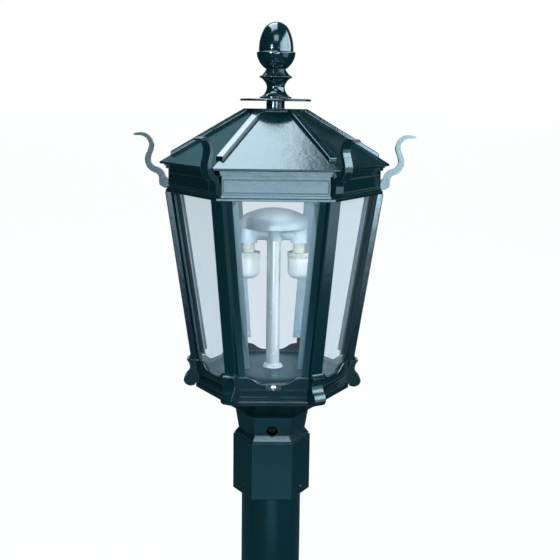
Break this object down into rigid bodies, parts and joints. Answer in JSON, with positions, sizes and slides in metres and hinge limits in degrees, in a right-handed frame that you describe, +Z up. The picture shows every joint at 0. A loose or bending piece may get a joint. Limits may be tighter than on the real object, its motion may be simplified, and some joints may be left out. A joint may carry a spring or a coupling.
{
  "type": "post top lantern",
  "caption": "Hexagonal post top lantern with leaning glass panes, hinged roof, scrolled corner horns, turned finial and a twin-mantle gas burner under a domed deflector.",
  "frame": {"origin": "on the lantern's axis at the mouth of the post collar", "axes": "+Z up along the axis, -Y out of the front pane, corners of the hexagon on +X and -X, the roof's hinge on the +Y side"},
  "size_m": [0.3454, 0.3042, 0.591],
  "materials": {
    "paint": "gloss",
    "inner_paint": "gloss",
    "glass": "clear",
    "screw_steel": "satin",
    "brass": "satin",
    "bright_pipe": "polished",
    "burner_metal": "cast",
    "nozzle_ceramic": "matte",
    "mantle_fabric": "matte",
    "dome_metal": "satin",
    "strip_metal": "satin",
    "button_metal": "satin"
  },
  "bodies": {
    "lantern": {"fitter_collar": "paint", "collar_set_screws": "paint", "collar_screws": "paint", "neck_casting": "paint", "base_pan": "paint", "pan_bolts": "paint", "base_rail_front": "paint", "base_rail_front_right": "paint", "base_rail_back_right": "paint", "base_rail_back": "paint", "base_rail_back_left": "paint", "base_rail_front_left": "paint", "post_feet": "paint", "floor_plate": "inner_paint", "corner_post_right": "paint", "corner_post_back_right": "paint", "corner_post_back_left": "paint", "corner_post_left": "paint", "corner_post_front_left": "paint", "corner_post_front_right": "paint", "glass_pane_front": "glass", "glass_pane_front_right": "glass", "glass_pane_back_right": "glass", "glass_pane_back": "glass", "glass_pane_back_left": "glass", "glass_pane_front_left": "glass", "pane_retainers": "strip_metal", "retainer_screws": "screw_steel", "cage_ring": "paint", "hinge_pin": "screw_steel", "gas_cock_body": "brass", "gas_cock_gland": "brass", "gas_jet": "brass", "gas_riser": "bright_pipe", "riser_flange": "bright_pipe", "riser_locknut": "bright_pipe", "burner_manifold": "burner_metal", "burner_nozzles": "nozzle_ceramic", "mantle_rings": "nozzle_ceramic", "mantle_left": "mantle_fabric", "mantle_right": "mantle_fabric", "burner_dome": "dome_metal", "pane_button_screw": "screw_steel"},
    "roof": {"hinge_leaf": "paint", "hinge_leaf_screws": "screw_steel", "frieze_band": "paint", "roof_shell": "paint", "roof_cap": "paint", "hip_ribs": "paint", "corner_horns": "paint", "horn_screws": "screw_steel", "disc_spacer": "paint", "drip_disc": "paint", "finial_stud": "screw_steel", "finial_nut": "screw_steel", "finial": "paint"},
    "gas_key": {"gas_cock_key": "brass"},
    "pane_button": {"pane_button": "button_metal"}
  },
  "joints": [
    {"name": "roof_hinge", "type": "hinge", "parent": "lantern", "child": "roof", "pos_m": [0, 0.12197, 0.3888], "axis": [-1, 0, 0], "range_deg": [0, 105]},
    {"name": "gas_key_turn", "type": "hinge", "parent": "lantern", "child": "gas_key", "pos_m": [0, -0.0225, 0.0895], "axis": [0, 1, 0], "range_deg": [0, 90]},
    {"name": "pane_button_turn", "type": "hinge", "parent": "lantern", "child": "pane_button", "pos_m": [0, -0.0883, 0.1606], "axis": [0, 1, 0], "range_deg": [0, 90]}
  ]
}
